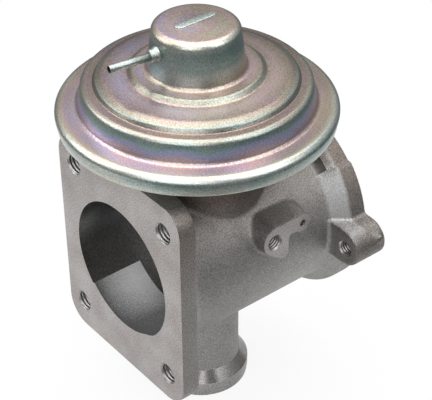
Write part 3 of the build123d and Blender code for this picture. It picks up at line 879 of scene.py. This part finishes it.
# %% Film thickness along the profile
# The last column is a tone of painted light and shade, which scales the tint.
FILM_ROWS = [
    (0, 83.1, 1.50, 0.05, 1.05), (12, 83.1, 1.46, 0.05, 1.05), (14.0, 82.3, 1.06, 0.06, 1.0),
    (14.8, 79, 0.84, 0.04, 0.8), (15.4, 74.5, 0.86, -0.06, 1.05), (15.8, 71.8, 0.98, -0.14, 1.2),
    (16.2, 69, 1.06, -0.16, 1.0), (16.8, 67.6, 1.36, -0.04, 0.95), (19.5, 67.4, 1.44, 0.08, 0.95),
    (21.8, 67.0, 1.02, 0.03, 0.6), (23.2, 65.9, 1.40, 0.05, 0.9), (26, 65.7, 1.47, 0.10, 1.05),
    (29.5, 65.5, 1.40, 0.12, 0.78), (31.2, 65.3, 1.36, 0.08, 0.72), (32.2, 64.9, 1.16, 0.06, 0.65),
    (33.4, 64.2, 1.00, 0.08, 0.58), (34.2, 63.0, 1.40, 0.00, 0.65), (36, 62.9, 1.38, 0.10, 0.65),
    (38.1, 62.3, 1.02, 0.06, 0.8), (38.4, 61, 0.86, 0.06, 0.8), (38.7, 59.4, 0.71, 0.10, 1.40),
    (39.1, 57.6, 0.60, -0.02, 1.40), (39.4, 56.0, 0.46, 0.02, 1.1), (40.2, 55.0, 0.40, 0.08, 0.95),
    (43.5, 54.9, 0.38, 0.10, 0.9), (46.2, 54.6, 0.06, 0.04, 1.05), (47.3, 53.4, -0.04, 0.04, 1.15),
    (47.3, 52.0, -0.12, 0.02, 0.5), (46.6, 49, 0.10, 0.02, 0.85), (44.5, 48, 0.10, 0.00, 0.9)]
# The painted tone is lighter on the side towards the front and darker away from it.
THICK_SIDE, LIT_SIDE, LIT_SWING = math.radians(-123), math.radians(-45), 0.3


def film_at(radius, level):
    """The film thickness, its swing and its tone of painted light, at the two nearest rows, weighted by
    nearness.
    """
    near = sorted((math.hypot(radius - r, level - z), values) for r, z, *values in FILM_ROWS)[:2]
    (d0, first), (d1, second) = near
    share = d0 / (d0 + d1 + 1e-9)
    return [a + (b - a) * share for a, b in zip(first, second)]


film = cover.data.attributes.new("film", "FLOAT", "POINT")
film_tone = cover.data.attributes.new("film_tone", "FLOAT", "POINT")
known = {}
for vertex in cover.data.vertices:
    x, y, z = vertex.co / MM
    key = (round(math.hypot(x, y - VALVE_Y), 2), round(z, 2))
    if key not in known:
        known[key] = film_at(*key)
    thickness, swing, tone = known[key]
    turn = math.atan2(y - VALVE_Y, x)
    film.data[vertex.index].value = thickness + swing * math.cos(turn - THICK_SIDE)
    # Painted light and shade, lighter towards the front.
    film_tone.data[vertex.index].value = tone * (1 + LIT_SWING * math.cos(turn - LIT_SIDE))
smooth(cover, 50)
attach(cover, "housing")
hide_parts("upper_capsule_shell")
print("cover faces:", len(cover.data.polygons), "from", len(known), "places on the profile")

# %% [markdown]
# ## Cap rib
# A plain rib is coined in the top of the cap. It is a long outline with round ends, stacked in four
# levels that draw in towards the top, so that its edge catches the light.

# %% Cap rib
RIB_HALF, RIB_R, RIB_X, RIB_Y = 6.35, 1.4, -1.4, 0.85


def rib_ring(level, grow):
    """The rib's outline at a level."""
    far_end = arc((RIB_X, RIB_Y + RIB_HALF), RIB_R + grow, 0, 180, 12)
    near_end = arc((RIB_X, RIB_Y - RIB_HALF), RIB_R + grow, 180, 360, 12)
    return [up_valve(u, v, level) for u, v in far_end + near_end]


rib_levels = [(82.6, 0.32), (83.2, 0.32), (83.42, 0.22), (83.5, 0.0)]
rib = piece("cap_rib", [stacked([rib_ring(level, grow) for level, grow in rib_levels])], [plated_small])
smooth(rib, 60)
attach(rib, "housing")
print("cap rib faces:", len(rib.data.polygons))

# %% [markdown]
# ## Vacuum nipple
# The nipple is a thin steel tube with an open end, set in a collar that is brazed to the cap. Both
# are turned about the nipple's own axis, and the inside of the tube is painted dark, because light
# hardly reaches it.

# %% Vacuum nipple
NIPPLE_Z, NIPPLE_TURN = in_mm(mounts["vacuum_nipple"]["pos_m"][2]), math.radians(-96)
TUBE_R, TUBE_END, HOLE_R, COLLAR_TOP = 1.4, 32.0, 1.2, 17.6
dark_bore = new_finish("dark_bore", 0.8, 0.0, (0.01, 0.01, 0.01))[0]
outwards = Vector((math.cos(NIPPLE_TURN), math.sin(NIPPLE_TURN), 0))
sideways = Vector((-outwards.y, outwards.x, 0))


def out_nipple(u, v, w):
    """Across the nipple, and out along it from the valve axis."""
    return tuple(outwards * w + sideways * u + Vector((0, VALVE_Y, NIPPLE_Z + v)))


tube_line = [(0.85, 13.6), (HOLE_R, 13.6), (HOLE_R, 17.4), (TUBE_R, COLLAR_TOP), (TUBE_R, 31.85),
             (1.32, TUBE_END), (HOLE_R, TUBE_END), (1.1, 31.0)]
nipple = piece("hose_nipple", [turned(tube_line, out_nipple, 40)], [plated_small, dark_bore])
for face in nipple.data.polygons:
    spoke = face.center / MM - Vector(out_nipple(0, 0, 0))
    if (spoke - outwards * spoke.dot(outwards)).length < HOLE_R - 0.03:
        face.material_index = 1
collar_line = [(HOLE_R, 14.0), (2.9, 14.0), (2.75, 15.3), (2.4, 15.8), (2.3, 16.2), (2.3, 17.2),
               (2.1, 17.55), (1.6, COLLAR_TOP), (HOLE_R, 17.5)]
collar = piece("nipple_braze_collar", [turned(collar_line, out_nipple, 48)], [plated_small])
for made, cad_node in ((nipple, "vacuum_nipple"), (collar, "nipple_collar")):
    smooth(made, 45)
    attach(made, "housing")
    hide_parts(cad_node)
print("nipple and collar made")

# %% [markdown]
# ## The pieces that stay
# The rest of the CAD pieces have the right shape already: stem, poppet, seat, shells, spring and
# rubber. They only need a finish. Their meshes aren't touched, apart from smooth shading.


# %% Finishes for the CAD pieces
def plain_metal(name, colour, roughness, lines_mm=0.4):
    """Turned metal with faint rings across its axis."""
    finish, tree, shader = new_finish(name, roughness, 1.0, colour)
    place = object_place(tree)
    rings = node(tree, "ShaderNodeMapping", {"Vector": place, "Scale": (0.05, 0.05, 1)}).outputs[0]
    tone = ramp(tree, noise(tree, place, 5, 3), [(0.3, tuple(c * 0.82 for c in colour)), (0.7, colour)])
    tree.links.new(tone, shader.inputs["Base Color"])
    raise_surface(tree, shader, noise(tree, rings, lines_mm, 1), 0.015)
    return finish


def moulded_rubber(name):
    """Black rubber with a fine moulded skin."""
    finish, tree, shader = new_finish(name, 0.62, 0.0, (0.025, 0.025, 0.026))
    raise_surface(tree, shader, noise(tree, object_place(tree), 0.5, 3), 0.03)
    return finish


def pressed_fibre(name):
    """Dark gasket sheet, speckled by its fibres."""
    finish, tree, shader = new_finish(name, 0.75, 0.0, (0.06, 0.058, 0.056))
    tone = ramp(tree, noise(tree, object_place(tree), 0.8, 4), [(0.3, 0.035), (0.7, 0.09)])
    tree.links.new(tone, shader.inputs["Base Color"])
    return finish


by_slot = {
    "bright_steel": plain_metal("bright_steel", (0.56, 0.56, 0.57), 0.30),
    "spring_steel": plain_metal("spring_steel", (0.30, 0.30, 0.32), 0.42),
    "bush_bronze": plain_metal("bush_bronze", (0.52, 0.38, 0.20), 0.45),
    "black_rubber": moulded_rubber("black_rubber"),
    "gasket_sheet": pressed_fibre("gasket_sheet"),
    "plated_steel": plated_small,
    "cast_aluminium": cast_skin,
}
for part in frame["record"]["subparts"]:
    cad_piece = frame["nodes"][part["node"]]
    cad_piece.data.materials.clear()
    cad_piece.data.materials.append(by_slot[part["material_slot"]])
    smooth(cad_piece)

# %% [markdown]
# ## What flexes
# The valve lifts by six millimetres, and two pieces give way to it. The coil spring gets shorter
# towards its seat in the cap, and the rubber diaphragm flattens towards its clamped bead. Each is
# made here as a copy of its CAD piece, with a mesh of its own, attached to the housing, and the CAD
# piece is hidden.


def flexing(cad_name):
    """A copy of a CAD piece, attached to the housing, with the CAD piece hidden."""
    source = frame["nodes"][cad_name]
    mesh = source.data.copy()
    mesh.transform(source.matrix_world)
    made = bpy.data.objects.new("flexing_" + cad_name, mesh)
    bpy.context.scene.collection.objects.link(made)
    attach(made, "housing")
    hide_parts(cad_name)
    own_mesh(made)
    return made


flexing("return_spring")
flexing("diaphragm")

# %% [markdown]
# ## Floor
# The photograph has a plain white background, yet the bends of the capsule show a bright line
# above a dark band. Such a pair needs a room that is bright overhead and dark near the horizon, so
# the floor is pale paper below the part and fades to dark further off and towards the camera. To
# the camera itself the paper is white, and near the part it keeps a little of its own shading, so
# that a soft shadow still shows. Metal sees a part of that white too.

# %% Floor
HALF_FLOOR, FLOOR_GAP = 900, 0.0002
floor_z = cad_box[0].z
corners = [(-HALF_FLOOR, -HALF_FLOOR, 0), (HALF_FLOOR, -HALF_FLOOR, 0), (HALF_FLOOR, HALF_FLOOR, 0),
           (-HALF_FLOOR, HALF_FLOOR, 0)]
floor = piece("floor", [(corners, [(0, 1, 2, 3)])], [])
floor.location.z = floor_z - FLOOR_GAP


def pale_paper(name):
    """Paper that camera and metal see as white; it fades over distances given in metres."""
    finish, tree, shader = new_finish(name, 0.9, 0.0, (0.86, 0.86, 0.86))
    spot = object_place(tree)
    distance = vector_maths(tree, "LENGTH", spot, output="Value")
    forward = vector_maths(tree, "DOT_PRODUCT", spot, (0.95, -0.31, 0), output="Value")
    lit = maths(tree, "MULTIPLY", climb(tree, forward, 0.13, 0.03), climb(tree, distance, 0.30, 0.16))
    tone = mix_colours(tree, lit, (0.16, 0.16, 0.16), (0.78, 0.78, 0.78))
    tree.links.new(tone, shader.inputs["Base Color"])
    rays = node(tree, "ShaderNodeLightPath").outputs
    away = climb(tree, distance, 0.05, 0.19, low=0.88)
    to_camera = maths(tree, "MULTIPLY", rays["Is Camera Ray"], away)
    mirrored = maths(tree, "MAXIMUM", rays["Is Glossy Ray"], rays["Is Transmission Ray"])
    to_metal = maths(tree, "MULTIPLY", mirrored, maths(tree, "MULTIPLY", lit, 0.4))
    share = maths(tree, "MAXIMUM", to_camera, to_metal)
    white = node(tree, "ShaderNodeEmission", {"Strength": 1.0})
    mixed = node(tree, "ShaderNodeMixShader", {0: share, 1: shader.outputs[0], 2: white.outputs[0]})
    tree.links.new(mixed.outputs[0], tree.nodes["Material Output"].inputs["Surface"])
    return finish


floor.data.materials.append(pale_paper("pale_paper"))
print("floor at", round(floor_z / MM, 1), "mm")

# %% [markdown]
# ## Sky
# The sky is dimmer low down and towards the camera, which gives the metal its dark bands. The
# camera alone sees it as plain white, and metal sees at least a dim grey in every direction. An
# image of a real studio would light it too, but two gradients can be moved by changing a number.

# %% Sky
world = bpy.data.worlds.new("studio")
world.use_nodes = True
bpy.context.scene.world = world
sky = world.node_tree
rays = node(sky, "ShaderNodeLightPath").outputs
direction = node(sky, "ShaderNodeTexCoord").outputs["Generated"]
room = climb(sky, components(sky, direction)["Z"], 0.0, 0.8, low=0.30)
towards_camera = vector_maths(sky, "DOT_PRODUCT", direction, (0.79, -0.61, 0), output="Value")
room = maths(sky, "MULTIPLY", room, climb(sky, towards_camera, 0.1, 0.6, low=1.0, high=0.4))
mirrored = maths(sky, "MAXIMUM", rays["Is Glossy Ray"], rays["Is Transmission Ray"])
pale = maths(sky, "MULTIPLY", mirrored, 0.3)
strength = maths(sky, "MAXIMUM", maths(sky, "MAXIMUM", room, pale), rays["Is Camera Ray"])
background = sky.nodes["Background"]
background.inputs["Color"].default_value = (1, 1, 1, 1)
sky.links.new(strength, background.inputs["Strength"])
print("sky made")

# %% [markdown]
# ## Lamps
# A wide lamp hangs overhead, and three smaller ones stand round the part. They are large for their
# distance, so their light is soft and their reflections are broad, where point lamps would draw
# small hard spots.


# %% Lamps
def soft_lamp(name, place, aim, size, power):
    """A square area lamp that points at a spot."""
    lamp = bpy.data.objects.new(name, bpy.data.lights.new(name, "AREA"))
    lamp.data.size = size
    lamp.data.energy = power
    lamp.location = place
    lamp.rotation_euler = (Vector(place) - Vector(aim)).to_track_quat("Z", "Y").to_euler()
    bpy.context.scene.collection.objects.link(lamp)


middle = (0, 0.035, 0.02)
soft_lamp("ceiling_box", (-0.02, 0.05, 0.70), middle, 0.90, 4.2)
soft_lamp("left_box", (-0.45, -0.45, 0.45), middle, 0.55, 1.7)
soft_lamp("right_box", (0.50, 0.22, 0.45), middle, 0.45, 1.0)
soft_lamp("front_box", (0.36, -0.46, 0.42), middle, 0.60, 1.8)
bpy.context.scene.view_settings.view_transform = "Standard"
print("four soft lamps")

# %% [markdown]
# ## Last update
# Last, the view layer is brought up to date.

# %% Last update
bpy.context.view_layer.update()
